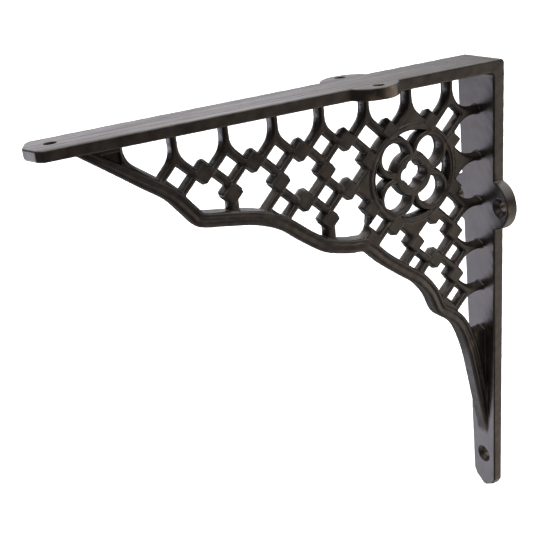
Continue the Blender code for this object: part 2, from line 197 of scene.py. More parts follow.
@dataclass
class Raster:
    """Signed distance to a set of outlines, kept on a grid so that it is quick to read.

    Attributes:
        low: lowest corner of the grid.
        high: highest corner of the grid.
        pitch: grid step.
        reach: largest distance outside the outlines that is kept.
    """

    low: Point
    high: Point
    pitch: float = 0.25
    reach: float = 4.0
    values: Array = field(init=False)

    def __post_init__(self) -> None:
        """Starts with nothing inside."""
        count = [int((h - l) / self.pitch) + 2 for l, h in zip(self.low, self.high)]
        self.values = np.full(count, self.reach, np.float32)

    def add(self, outline: Outline) -> None:
        """Takes one more closed outline into the set."""
        corners = np.array(outline)
        first = np.floor((corners.min(0) - self.reach - self.low) / self.pitch).astype(int)
        last = np.ceil((corners.max(0) + self.reach - self.low) / self.pitch).astype(int) + 1
        first, last = np.maximum(first, 0), np.minimum(last, self.values.shape)
        a = (self.low[0] + self.pitch * np.arange(first[0], last[0]))[:, None].astype(np.float32)
        b = (self.low[1] + self.pitch * np.arange(first[1], last[1]))[None, :].astype(np.float32)
        window = self.values[first[0] : last[0], first[1] : last[1]]
        np.minimum(window, outline_distance(outline, a, b), out=window)

    def read(self, a: Array, b: Array) -> Array:
        """Distance at any points of the plane, between grid points by their four neighbours.

        Args:
            a: first coordinate of the points.
            b: second coordinate of the points.

        Returns:
            The signed distances.
        """
        u = np.clip((a - self.low[0]) / self.pitch, 0.0, self.values.shape[0] - LAST_LINE)
        v = np.clip((b - self.low[1]) / self.pitch, 0.0, self.values.shape[1] - LAST_LINE)
        i, j = u.astype(np.int32), v.astype(np.int32)
        s, t = (u - i).astype(np.float32), (v - j).astype(np.float32)
        near = self.values[i, j] * (1.0 - s) + self.values[i + 1, j] * s
        far = self.values[i, j + 1] * (1.0 - s) + self.values[i + 1, j + 1] * s
        return near * (1.0 - t) + far * t


def extruded(plan: Array, depth: Array, radius: float) -> Array:
    """Body that lies inside both distances, with the edge between them rounded.

    Args:
        plan: distance to the outline.
        depth: distance past the end faces.
        radius: radius of the edge.

    Returns:
        The signed distances.
    """
    p, q = plan + radius, depth + radius
    outside = np.hypot(np.maximum(p, 0.0), np.maximum(q, 0.0))
    return np.minimum(np.maximum(p, q), 0.0) + outside - radius


def joined(a: Array, b: Array, blend: float) -> Array:
    """Union of two bodies with a fillet where they meet."""
    near = np.maximum(blend - np.abs(a - b), 0.0) / blend
    return np.minimum(a, b) - near * near * blend / 4.0


def carved(body: Array, tool: Array, blend: float) -> Array:
    """Body with a tool's shape taken out of it, the edge of the cut eased."""
    return -joined(-body, tool, blend)


@dataclass(frozen=True)
class Net:
    """Square net that the tracery is drawn on, counted from the first post under the arm."""

    step: float = 12.7
    origin_y: float = -178.1
    origin_z: float = TOP - 14.2
    low: Point = (-246.0, -135.0)
    high: Point = (4.0, 136.0)

    def at(self, u: float, v: float) -> Point:
        """Side-view point of a net position."""
        return (self.origin_y + self.step * u, self.origin_z - self.step * v)

    def raster(self) -> Raster:
        """Empty field over the whole side view."""
        return Raster(self.low, self.high)


def past_flanges(y: Array, z: Array, lap: float) -> Array:
    """How far a point lies past the depth to which the web reaches into the flanges."""
    return np.maximum(z - TOP, y) + lap


@dataclass
class Flanges:
    """Arm and wall plate, one bent flange with screw ears, a rounded heel and a filleted inner corner."""

    plate_height: float = 265.0
    plate_thickness: float = 7.1
    plate_thickness_foot: float = 5.6
    plate_half_top: float = 14.9
    plate_half_foot: float = 9.4
    foot_nose: float = 7.6
    foot_nose_flat: float = 0.8
    arm_length: float = 243.2
    arm_thickness: float = 6.4
    arm_thickness_tip: float = 5.2
    arm_half_root: float = 14.9
    arm_half_tip: float = 12.7
    tip_nose: float = 5.4
    tip_nose_flat: float = 1.5
    nose_bend_across: float = 0.78
    nose_bend_along: float = 0.48
    nose_radius: float = 1.2
    ear_distance: float = 78.2
    ear_centre: float = 10.2
    ear_radius: float = 14.0
    ear_notch_radius: float = 2.0
    heel_radius: float = 2.6
    inner_fillet: float = 2.4
    edge_radius: float = 0.75
    plan_low: Point = (-1.0, -6.0)
    plan_high: Point = (34.0, 7.0)
    past_corner: float = 20.0
    past_ends: float = 30.0
    ear_parts: int = 24
    nose_parts: int = 4
    heel_parts: int = 12
    arm: Raster = field(init=False)
    plate: Raster = field(init=False)
    side: Raster = field(init=False)

    def __post_init__(self) -> None:
        """Draws the two plans and the side view."""
        self.arm = self.plan(self.arm_length, (self.arm_half_root, self.arm_half_tip), self.tip_nose,
                             self.tip_nose_flat)
        self.plate = self.plan(self.plate_height, (self.plate_half_top, self.plate_half_foot), self.foot_nose,
                               self.foot_nose_flat)
        self.side = Net().raster()
        self.side.add(self.side_outline())

    def plan(self, length: float, halves: Span, nose: float, nose_flat: float) -> Raster:
        """Draws one leg seen square on, as (across, distance from the corner).

        Args:
            length: length of the leg.
            halves: half width at the corner and where the nose starts.
            nose: length of the nose.
            nose_flat: half width of the nose's blunt end.

        Returns:
            The leg, run on past the corner so that both legs share the corner block.
        """
        half_root, half_end = halves
        slope = (half_end - half_root) / (length - nose)
        edge = [half_root + slope * (self.ear_distance + s * self.ear_radius) for s in (-1.0, 1.0)]
        ends = [math.degrees(math.acos((half - self.ear_centre) / self.ear_radius)) for half in edge]
        side = [(half_root, -self.past_corner), (half_root, 0.0)]
        side += arc(self.ear_centre, self.ear_distance, self.ear_radius, -ends[0], ends[1], self.ear_parts)
        side.append((half_end, length - nose))
        bend = length - nose + nose * self.nose_bend_along
        side += [(half_end * self.nose_bend_across, bend), (nose_flat, length)]
        corners = side + [(-x, d) for x, d in reversed(side)]
        radii = [0.0, 0.0, self.ear_notch_radius] + [0.0] * (self.ear_parts - 1)
        radii += [self.ear_notch_radius, self.nose_radius, self.nose_radius, self.nose_radius]
        found = Raster(self.plan_low, (self.plan_high[0], length + self.plan_high[1]))
        found.add(rounded(corners, radii + radii[::-1], self.nose_parts))
        return found

    def arm_thickness_at(self, out: float) -> float:
        """Thickness of the arm at a distance from the wall; it thins towards the tip."""
        share = (out - self.plate_thickness) / (self.arm_length - self.plate_thickness)
        return self.arm_thickness + (self.arm_thickness_tip - self.arm_thickness) * share

    def plate_thickness_at(self, down: float) -> float:
        """Thickness of the wall plate at a distance below the top; it thins towards the foot."""
        share = (down - self.arm_thickness) / (self.plate_height - self.arm_thickness)
        return self.plate_thickness + (self.plate_thickness_foot - self.plate_thickness) * share

    def side_outline(self) -> Outline:
        """Bent flange seen from the side, both legs run on past their ends."""
        far, deep = self.arm_length + self.past_ends, self.plate_height + self.past_ends
        corners = [(0.0, TOP - deep), (0.0, TOP), (-far, TOP), (-far, TOP - self.arm_thickness_at(far))]
        corners.append((-self.plate_thickness, TOP - self.arm_thickness))
        corners.append((-self.plate_thickness_at(deep), TOP - deep))
        radii = (0.0, self.heel_radius, 0.0, 0.0, self.inner_fillet, 0.0)
        return rounded(corners, radii, self.heel_parts)

    def distance(self, x: Array, y: Array, z: Array) -> Array:
        """Signed distance to the bent flange."""
        across, out, down = np.abs(x), -y, TOP - z
        plan = np.where(out > down, self.arm.read(across, out), self.plate.read(across, down))
        return extruded(plan, self.side.read(y, z), self.edge_radius)


@dataclass
class Rib:
    """Lower rib: two ogee swags and a long tail, moulded with a broad bead, a groove and a fine bead."""

    net: Net
    band: float = 6.9
    band_at_tip: float = 3.6
    full_from_u: float = 0.1
    tip_u: float = -4.2
    core_half: float = 4.0
    core_radius: float = 1.0
    bead_at: float = 1.95
    bead_radius: float = 1.95
    bead_height: float = 4.6
    fine_bead_at: float = 5.7
    fine_bead_radius: float = 1.15
    fine_bead_height: float = 4.5
    bead_blend: float = 0.8
    knots: tuple[Point, ...] = (
        (-4.25, -1.14), (-3.39, -0.48), (-2.48, 0.21), (-1.53, 0.95), (-0.58, 1.68), (0.06, 2.47),
        (0.50, 2.94), (1.58, 3.17), (2.82, 3.44), (3.79, 3.88), (4.78, 4.68), (5.66, 5.28),
        (6.76, 5.62), (7.48, 5.76), (8.29, 6.55), (9.31, 7.39), (9.99, 7.93), (10.53, 8.64),
        (10.93, 9.56), (11.53, 10.04), (12.05, 10.62), (12.53, 11.84), (12.82, 13.09), (13.09, 14.49),
        (13.46, 16.18), (13.86, 17.37),
    )
    knot_parts: int = 4
    beyond: float = 60.0
    edge: Raster = field(init=False)

    def __post_init__(self) -> None:
        """Draws the region above the rib's outer edge."""
        self.edge = self.net.raster()
        outer = [self.net.at(u, v) for u, v in smooth_curve(self.knots, self.knot_parts)]
        far = self.beyond
        self.edge.add(outer + [(far, outer[-1][1]), (far, TOP + far), (outer[0][0], TOP + far)])

    def depth(self, y: Array, z: Array) -> Array:
        """How far a side-view point lies inside the rib's outer edge."""
        return -self.edge.read(y, z)

    def distance(self, x: Array, y: Array, z: Array) -> Array:
        """Signed distance to the moulded rib."""
        start, full = self.net.at(self.tip_u, 0.0)[0], self.net.at(self.full_from_u, 0.0)[0]
        swell = np.clip((y - start) / (full - start), 0.0, 1.0)
        width = self.band_at_tip + (self.band - self.band_at_tip) * swell
        depth = self.depth(y, z) * (self.band / width)
        across = np.abs(x)
        half = self.band / 2.0
        core = extruded(np.abs(depth - half) - half, across - self.core_half, self.core_radius)
        broad = np.hypot(depth - self.bead_at, np.maximum(across - self.bead_height + self.bead_radius, 0.0))
        fine = np.hypot(depth - self.fine_bead_at,
                        np.maximum(across - self.fine_bead_height + self.fine_bead_radius, 0.0))
        beads = np.minimum(broad - self.bead_radius, fine - self.fine_bead_radius)
        return joined(core, beads, self.bead_blend)


@dataclass
class Rosette:
    """Ring with four round lobes, four spandrels and a small quatrefoil in its hub."""

    net: Net
    u: float = 10.0
    v: float = 3.0
    ring_outer: float = 26.7
    ring_inner: float = 23.4
    half: float = 4.2
    draft: float = 0.28
    lobe_centre: float = 10.55
    lobe_inner: float = 8.2
    lobe_outer: float = 10.6
    hub_outer: float = 11.1
    hub_lobe_centre: float = 3.6
    hub_lobe_radius: float = 4.3
    edge_radius: float = 0.7
    horn_radius: float = 0.7
    groove_at: float = 24.35
    groove_radius: float = 0.6
    groove_lift: float = 0.2
    groove_ease: float = 0.25
    lobe_parts: int = 36
    inner_parts: int = 14
    hub_parts: int = 96
    spandrel_parts: int = 12
    horn_parts: int = 5
    holes: Raster = field(init=False)

    def __post_init__(self) -> None:
        """Draws the openings inside the ring."""
        self.holes = self.net.raster()
        for su in (-1, 1):
            for sv in (-1, 1):
                self.holes.add(self.lobe(su, sv))
        for facing in (0.0, 90.0, 180.0, 270.0):
            self.holes.add(self.spandrel(facing))
        self.holes.add(self.hub())

    def lobe(self, su: int, sv: int) -> Outline:
        """Kidney opening: a circle with the hub's edge taken out of it.

        Args:
            su: -1 or 1, towards the tip or the wall.
            sv: -1 or 1, up or down.

        Returns:
            The outline.
        """
        cy, cz = self.net.at(self.u, self.v)
        apart = ROOT2 * self.lobe_centre
        along = (self.hub_outer**2 - self.lobe_inner**2 + apart**2) / (2.0 * apart)
        across = math.sqrt(self.hub_outer**2 - along**2)
        lobe_half = math.degrees(math.atan2(across, along - apart))
        hub_half = math.degrees(math.atan2(across, along))
        facing = math.degrees(math.atan2(-sv, su))
        ly, lz = cy + su * self.lobe_centre, cz - sv * self.lobe_centre
        outer = arc(ly, lz, self.lobe_inner, facing - lobe_half, facing + lobe_half, self.lobe_parts)
        inner = arc(cy, cz, self.hub_outer, facing + hub_half, facing - hub_half, self.inner_parts)
        radii = [self.horn_radius] + [0.0] * (self.lobe_parts - 1)
        radii += [self.horn_radius] + [0.0] * (self.inner_parts - 1)
        return rounded(outer + inner[1:-1], radii, self.horn_parts)

    def spandrel(self, facing: float) -> Outline:
        """Three-sided opening between the ring and two lobes, facing the given angle in degrees."""
        cy, cz = self.net.at(self.u, self.v)
        c0, r0, r1 = self.lobe_centre, self.lobe_outer, self.ring_inner
        apart = ROOT2 * c0
        along = (r1**2 - r0**2 + apart**2) / (2.0 * apart)
        ring_half = 45.0 - math.degrees(math.atan2(math.sqrt(r1**2 - along**2), along))
        apex = c0 + math.sqrt(r0**2 - c0**2)
        lobe_start = math.degrees(math.atan2(-c0, apex - c0))
        tip_y, tip_z = polar(0.0, 0.0, r1, ring_half)
        lobe_end = math.degrees(math.atan2(tip_z - c0, tip_y - c0))
        upper = arc(c0, c0, r0, lobe_start, lobe_end, self.spandrel_parts)
        rim = arc(0.0, 0.0, r1, ring_half, -ring_half, self.inner_parts)
        lower = [(a, -b) for a, b in reversed(upper)]
        c, s = math.cos(math.radians(facing)), math.sin(math.radians(facing))
        points = upper[:-1] + rim[1:-1] + lower[:-1]
        return [(cy + a * c - b * s, cz + a * s + b * c) for a, b in points]

    def hub(self) -> Outline:
        """Quatrefoil in the middle."""
        cy, cz = self.net.at(self.u, self.v)
        points: Outline = []
        for i in range(self.hub_parts):
            angle = 360.0 * i / self.hub_parts
            off = math.radians((angle + 45.0) % 90.0 - 45.0)
            reach = math.sqrt(self.hub_lobe_radius**2 - (self.hub_lobe_centre * math.sin(off)) ** 2)
            points.append(polar(cy, cz, self.hub_lobe_centre * math.cos(off) + reach, angle))
        return points

    def distance(self, x: Array, y: Array, z: Array) -> Array:
        """Signed distance to the rosette, a groove parting the ring into a broad band and a fine bead."""
        cy, cz = self.net.at(self.u, self.v)
        radius = np.hypot(y - cy, z - cz)
        across = np.abs(x)
        metal = np.maximum(radius - self.ring_outer, -self.holes.read(y, z))
        metal = metal - self.draft * np.maximum(self.half - across, 0.0)
        body = extruded(metal, across - self.half, self.edge_radius)
        groove = np.hypot(radius - self.groove_at, across - self.half - self.groove_lift) - self.groove_radius
        return carved(body, groove, self.groove_ease)


@dataclass
class Tracery:
    """Pierced web with its square bosses.

    Attributes:
        footed: bosses that stand on the rib by a short foot.
        swept: corners of large openings that run round into the rib, each with its shift.
        swept_cut: how far the diamond beside such a corner is cut back.
        tip_knots: the rib's knots between which the first opening ends.
        cells: middles of the large openings.
        rhombi: middles of the small diamond openings.
    """

    net: Net
    rib: Rib
    rosette: Rosette
    half: float = 3.6
    draft: float = 0.34
    edge_radius: float = 0.8
    post_width: float = 2.6
    rhombus_half: float = 6.8
    rhombus_radius: float = 1.0
    rhombus_run: float = 5.6
    frame_outer: float = 7.35
    stud_half: float = 5.3
    stud_raise: float = 0.55
    stud_edge: float = 0.4
    cusp_radius: float = 0.7
    valley_radius: float = 1.5
    bowl_radius: float = 12.4
    tip_bowl_radius: float = 14.0
    tip_bowl_lift: float = 0.7
    arm_mouth: float = 11.0
    wall_mouth: float = 9.5
    last_bowl_drop: float = 2.5
    rib_lap: float = 2.5
    ring_lap: float = 1.2
    flange_lap: float = 3.4
    panel_depth: float = 0.9
    panel_radius: float = 0.6
    panel: tuple[Point, ...] = ((-2.75, -0.42), (-2.0, -0.42), (-2.0, 0.12))
    ease: float = 0.3
    wall_line: float = 13.0
    tip_knots: tuple[int, int] = (2, 4)
    corner_rhombus: float = 2.0
    bowl_parts: int = 10
    tip_bowl_parts: int = 12
    cells: tuple[Point, ...] = ((1, 2), (3, 2), (5, 2), (7, 2), (5, 4), (7, 4), (9, 6), (11, 6), (11, 8))
    arm_bowls: tuple[int, ...] = (1, 3, 5, 7, 9, 11)
    tip_bowl: int = -1
    wall_bowls: tuple[int, ...] = (2, 4, 6, 8, 10)
    rhombi: tuple[Point, ...] = ((0, 1), (2, 1), (4, 1), (6, 1), (4, 3), (6, 3), (10, 7), (12, 7), (12, 9))
    studs: tuple[Point, ...] = (
        (1, 1), (3, 1), (5, 1), (7, 1), (9, 1), (11, 1), (2, 2), (4, 2), (6, 2), (8, 2), (12, 2),
        (5, 3), (7, 3), (6, 4), (8, 4), (12, 4), (9, 5), (11, 5), (10, 6), (12, 6), (11, 7), (12, 8),
    )
    footed: tuple[Point, ...] = ((2, 2), (6, 4))
    foot_half: float = 2.2
    swept: tuple[tuple[Point, float], ...] = (((7, 5), 9.5), ((8, 6), 0.0))
    swept_radius: float = 7.0
    swept_cut: float = 3.3
    holes: Raster = field(init=False)
    bosses: Raster = field(init=False)
    sunk: Raster = field(init=False)
    post_side: float = field(init=False)
    slant: float = field(init=False)
    cusp: float = field(init=False)
    valley: float = field(init=False)

    def __post_init__(self) -> None:
        """Draws the openings, the bosses and the sunk panel."""
        step = self.net.step
        self.post_side = step - self.post_width / 2.0
        self.slant = 2.0 * step - ROOT2 * self.frame_outer
        self.cusp = step - self.stud_half
        self.valley = (self.slant - self.cusp) / 2.0
        self.holes = self.net.raster()
        for outline in self.openings():
            self.holes.add(outline)
        self.bosses = self.net.raster()
        for u, v in self.studs:
            self.bosses.add(self.stud(u, v))
        self.sunk = self.net.raster()
        self.sunk.add(rounded([self.net.at(u, v) for u, v in self.panel], (self.panel_radius,)))

    def cell(self, u: float, v: float) -> Outline:
        """Large opening with four slanting sides, its middle at a net place."""
        cy, cz = self.net.at(u, v)
        corners: Outline = []
        radii: list[float] = []
        for du, dv in ((1, 0), (0, -1), (-1, 0), (0, 1)):
            shape, turns = self.cell_corner((u + du, v + dv), du)
            radii += turns
            corners += [(cy + a * du + b * dv, cz + b * du - a * dv) for a, b in shape]
        return rounded(corners, radii)

    def cell_corner(self, place: Point, du: int) -> tuple[Outline, list[float]]:
        """One corner of a large opening, as (towards the corner, across).

        Under a boss that stands on the rib the slanting side is left out, so that only a foot is left.

        Args:
            place: net place of the corner.
            du: 1 for the corner towards the wall, -1 for the one towards the tip, 0 for the others.

        Returns:
            The corner's points and the radius of each.
        """
        sweeps = dict(self.swept)
        if place in sweeps:
            return [(self.slant, sweeps[place])], [self.swept_radius]
        if place not in self.studs:
            return [(self.slant, 0.0)], [self.valley_radius]
        deep, foot = self.cusp + self.valley, self.net.step - self.foot_half
        shape = [(deep, -self.valley), (self.cusp, 0.0), (deep, self.valley)]
        if place not in self.footed:
            return shape, [self.valley_radius, self.cusp_radius, self.valley_radius]
        below = [(foot, -du * self.slant), (foot, -du * (foot - self.cusp))]
        shape = below + shape[1:] if du > 0 else shape[:2] + below[::-1]
        return shape, [self.cusp_radius] * len(shape)

    def bowl(self, mouth: float, drop: float, stud: Point) -> Outline:
        """Scallop as (across, deep), open at its mouth.

        Args:
            mouth: how far the straight sides run back from the net line.
            drop: how much wider one side is.
            stud: net place of the boss below it; without one its flanks run on into the rib.

        Returns:
            The outline before it is placed.
        """
        depth, deep = self.slant - self.post_side, self.cusp + self.valley
        low = [(0.0, self.slant)]
        if stud in self.studs:
            low = [(-self.valley, deep), (0.0, self.cusp), (self.valley, deep)]
        shape = [(-self.post_side, -mouth), (-self.post_side, depth), *low]
        shape += [(self.post_side + drop, depth), (self.post_side + drop, -mouth)]
        radii = (self.valley_radius, self.cusp_radius, self.valley_radius)[: len(low)]
        return rounded(shape, (0.0, self.bowl_radius, *radii, self.bowl_radius, 0.0), self.bowl_parts)

    def tip_opening(self) -> Outline:
        """First opening under the arm, closed below by the rib: one side sweeps round into it."""
        cy, cz = self.net.at(self.tip_bowl, 0.0)
        (py, pz), (qy, qz) = (self.net.at(*self.rib.knots[i]) for i in self.tip_knots)
        fall = (qz - pz) / (qy - py)
        lift = (self.rib.band - self.tip_bowl_lift) * math.hypot(1.0, fall)
        left, right, depth = cy - self.post_side, cy + self.post_side, self.slant - self.post_side
        foot = pz + lift - fall * py
        slant_foot = cz - depth - right
        low = (foot - slant_foot) / (1.0 - fall)
        corners = [(left, cz + self.arm_mouth), (left, foot + fall * left), (low, slant_foot + low)]
        corners += [(right, cz - depth), (right, cz + self.arm_mouth)]
        radii = (0.0, self.tip_bowl_radius, self.valley_radius, self.bowl_radius, 0.0)
        return rounded(corners, radii, self.tip_bowl_parts)

    def corner(self) -> Outline:
        """Opening in the corner between the arm and the wall plate."""
        cy, cz = self.net.at(self.wall_line, 0.0)
        side, depth, mouth = self.post_side, self.slant - self.post_side, self.arm_mouth
        points = [(-side, mouth), (-side, -depth), (-depth, -side), (mouth, -side), (mouth, mouth)]
        radii = (0.0, self.bowl_radius, self.bowl_radius, 0.0, 0.0)
        return rounded([(cy + a, cz + b) for a, b in points], radii, self.bowl_parts)

    def rhombus(self, u: float, v: float, run: Point = (0.0, 0.0), cut: float = 0.0) -> Outline:
        """Small diamond opening, run on towards the rosette where a run is given.

        Args:
            u: net place of its middle, along the arm.
            v: net place of its middle, down the wall.
            run: how far it runs on, along the arm and down the wall.
            cut: share of the run that its far side follows.

        Returns:
            The outline.
        """
        cy, cz = self.net.at(u, v)
        half = self.rhombus_half
        moved: Outline = []
        for a, b in ((-half, 0.0), (0.0, -half), (half, 0.0), (0.0, half)):
            share = 1.0 if a * run[0] + b * run[1] > 0.0 else cut
            moved.append((cy + a + run[0] * share, cz - b - run[1] * share))
        return rounded(moved, (self.rhombus_radius,))

    def stud(self, u: float, v: float) -> Outline:
        """Square boss on its corner."""
        cy, cz = self.net.at(u, v)
        half = self.stud_half
        corners = [(cy + half, cz), (cy, cz + half), (cy - half, cz), (cy, cz - half)]
        return rounded(corners, (self.cusp_radius,))

    def openings(self) -> list[Outline]:
        """Every opening of the tracery except those of the rosette."""
        shapes = [self.cell(u, v) for u, v in self.cells]
        for u in self.arm_bowls:
            cy, cz = self.net.at(u, 0.0)
            shapes.append([(cy + a, cz - b) for a, b in self.bowl(self.arm_mouth, 0.0, (u, 1))])
        for v in self.wall_bowls:
            cy, cz = self.net.at(self.wall_line, v)
            drop = self.last_bowl_drop if v == self.wall_bowls[-1] else 0.0
            shapes.append([(cy - b, cz - a) for a, b in self.bowl(self.wall_mouth, drop, (12, v))])
        shapes += [self.tip_opening(), self.corner()]
        shapes += [self.rhombus(u, v) for u, v in self.rhombi]
        for su in (-1.0, 1.0):
            for sv in (-1.0, 1.0):
                u, v = self.rosette.u + self.corner_rhombus * su, self.rosette.v + self.corner_rhombus * sv
                cut = self.swept_cut / self.rhombus_run if (u - 1.0, v) in dict(self.swept) else 0.0
                shapes.append(self.rhombus(u, v, (-su * self.rhombus_run, -sv * self.rhombus_run), cut))
        return shapes

    def distance(self, x: Array, y: Array, z: Array) -> Array:
        """Signed distance to the pierced web, its bosses and the rosette."""
        across = np.abs(x)
        limit = np.maximum(past_flanges(y, z, self.flange_lap), self.rib_lap - self.rib.depth(y, z))
        cy, cz = self.net.at(self.rosette.u, self.rosette.v)
        disc = self.rosette.ring_outer - self.ring_lap - np.hypot(y - cy, z - cz)
        holes = self.holes.read(y, z) + self.draft * np.maximum(self.half - across, 0.0)
        web = extruded(np.maximum(np.maximum(limit, disc), -holes), across - self.half, self.edge_radius)
        boss = extruded(self.bosses.read(y, z), across - self.half - self.stud_raise, self.stud_edge)
        web = joined(web, np.maximum(boss, limit), self.ease)
        web = joined(web, np.maximum(self.rosette.distance(x, y, z), limit), self.ease)
        floor = extruded(self.sunk.read(y, z), self.half - self.panel_depth - across, self.ease)
        return carved(web, floor, self.ease)


@dataclass(frozen=True)
class ScrewHoles:
    """Six screw holes, countersunk on the side that the screw goes in."""

    flanges: Flanges
    radius: float = 2.8
    sink_radius: float = 5.1
    sink_depth: float = 2.2
    ear_offset: float = 17.5
    tip_distance: float = 231.5
    foot_distance: float = 242.6

    def bore(self, across: Array, along: Array, depth: Array, thickness: float, place: Point) -> Array:
        """Signed distance to one countersunk hole.

        Args:
            across: distance from the middle plane.
            along: distance from the corner, along the leg.
            depth: depth under the outer face.
            thickness: the leg's thickness.
            place: the hole's centre, as (across, along).

        Returns:
            The signed distances.
        """
        radius = np.hypot(across - place[0], along - place[1])
        flare = (self.sink_radius - self.radius) / self.sink_depth
        slope = math.hypot(flare, 1.0)
        sink = np.maximum(depth - thickness + self.sink_depth, 0.0) * flare
        hole = (radius - self.radius - sink) / np.where(sink > 0.0, slope, 1.0)
        return np.maximum(hole, np.abs(depth - thickness / 2.0) - thickness)

    def distance(self, x: Array, y: Array, z: Array) -> Array:
        """Signed distance to the nearest hole."""
        across, out, down = np.abs(x), -y, TOP - z
        ear = (self.ear_offset, self.flanges.ear_distance)
        found = np.full(np.broadcast(x, y, z).shape, np.inf, np.float32)
        for place in (ear, (0.0, self.tip_distance)):
            hole = self.bore(across, out, down, self.flanges.arm_thickness_at(place[1]), place)
            found = np.minimum(found, hole)
        for place in (ear, (0.0, self.foot_distance)):
            hole = self.bore(across, down, out, self.flanges.plate_thickness_at(place[1]), place)
            found = np.minimum(found, hole)
        return found


@dataclass(frozen=True)
class SurfaceNet:
    """Turns a body given by its distance into a mesh that is the same on both sides of X = 0."""

    low: tuple[float, float]
    high: tuple[float, float, float]
    pitch: float
    slab: int = 6

    def field(self, distance: Distance) -> Array:
        """Distances on the grid of the half at positive X."""
        xs, ys, zs = self.axes()
        values = np.empty((len(xs), len(ys), len(zs)), np.float32)
        for i in range(0, len(xs), self.slab):
            part = xs[i : i + self.slab]
            values[i : i + self.slab] = distance(part[:, None, None], ys[None, :, None], zs[None, None, :])
        return values

    def axes(self) -> tuple[Array, Array, Array]:
        """Grid lines along X, Y and Z; the middle plane lies halfway between the first two along X."""
        xs = np.arange(-0.5 * self.pitch, self.high[0] + 2.0 * self.pitch, self.pitch)
        ys = np.arange(self.low[0] - 2.0 * self.pitch, self.high[1] + 2.0 * self.pitch, self.pitch)
        zs = np.arange(self.low[1] - 2.0 * self.pitch, self.high[2] + 2.0 * self.pitch, self.pitch)
        return xs.astype(np.float32), ys.astype(np.float32), zs.astype(np.float32)

    def mesh(self, distance: Distance) -> tuple[Array, Array]:
        """Points and four-sided faces of the whole body.

        Args:
            distance: signed distance to the body, negative inside.

        Returns:
            The points in millimetres and the corner numbers of each face.
        """
        values = self.field(distance)
        inside = values < 0.0
        cells = tuple(n - 1 for n in inside.shape)
        filled = np.zeros(cells, np.uint8)
        shifts = [(i, j, k) for i in (0, 1) for j in (0, 1) for k in (0, 1)]
        for i, j, k in shifts:
            filled += inside[i : i + cells[0], j : j + cells[1], k : k + cells[2]]
        mixed = (filled > 0) & (filled < len(shifts))
        number = np.full(cells, -1, np.int32)
        found = np.argwhere(mixed)
        number[mixed] = np.arange(len(found), dtype=np.int32)
        points = self.crossings(values, found, shifts)
        faces = self.faces(inside, number)
        return self.mirrored(points, faces, found[:, 0] == 0)

    def crossings(self, values: Array, found: Array, shifts: Sequence[tuple[int, int, int]]) -> Array:
        """Middle of the surface's crossings of each cell's edges, in millimetres."""
        corner = [values[found[:, 0] + i, found[:, 1] + j, found[:, 2] + k] for i, j, k in shifts]
        total = np.zeros((len(found), 3), np.float32)
        count = np.zeros(len(found), np.float32)
        for a, at in enumerate(shifts):
            for axis, bit in enumerate((4, 2, 1)):
                if at[axis]:
                    continue
                first, second = corner[a], corner[a + bit]
                cut = (first < 0.0) != (second < 0.0)
                share = np.where(cut, first / np.where(cut, first - second, 1.0), 0.0)
                place = np.array(at, np.float32) + share[:, None] * np.eye(3, dtype=np.float32)[axis]
                total += np.where(cut[:, None], place, 0.0)
                count += cut
        start = np.array([line[0] for line in self.axes()], np.float32)
        return start + self.pitch * (found + total / count[:, None])

    def faces(self, inside: Array, number: Array) -> Array:
        """A face round each grid edge that the surface crosses, turned so that it faces out."""
        made = []
        for axis in range(3):
            ahead = np.moveaxis(inside, axis, 0)
            cells = np.moveaxis(number, axis, 0)
            cut = ahead[:-1, 1:-1, 1:-1] != ahead[1:, 1:-1, 1:-1]
            at = np.argwhere(cut)
            i, j, k = at[:, 0], at[:, 1] + 1, at[:, 2] + 1
            ring = [cells[i, j - 1, k - 1], cells[i, j, k - 1], cells[i, j, k], cells[i, j - 1, k]]
            quads = np.stack(ring, axis=1)
            turned = ahead[i, j, k] ^ (axis == 1)
            quads[~turned] = quads[~turned][:, ::-1]
            made.append(quads)
        return np.concatenate(made)

    def mirrored(self, points: Array, faces: Array, middle: Array) -> tuple[Array, Array]:
        """The half and its mirror image, sharing the points on the middle plane."""
        points[middle, 0] = 0.0
        other = np.cumsum(~middle) - 1 + len(points)
        other[middle] = np.flatnonzero(middle)
        flipped = points[~middle] * np.array((-1.0, 1.0, 1.0), np.float32)
        return np.concatenate((points, flipped)), np.concatenate((faces, other[faces][:, ::-1]))


class Part(Enum):
    """What a reading of the casting's surface is for."""

    WEAR = "edge_wear"
    # Painted shade: how deep a point lies in a hollow or crease, which the material darkens.
    GRIME = "hollow_grime"


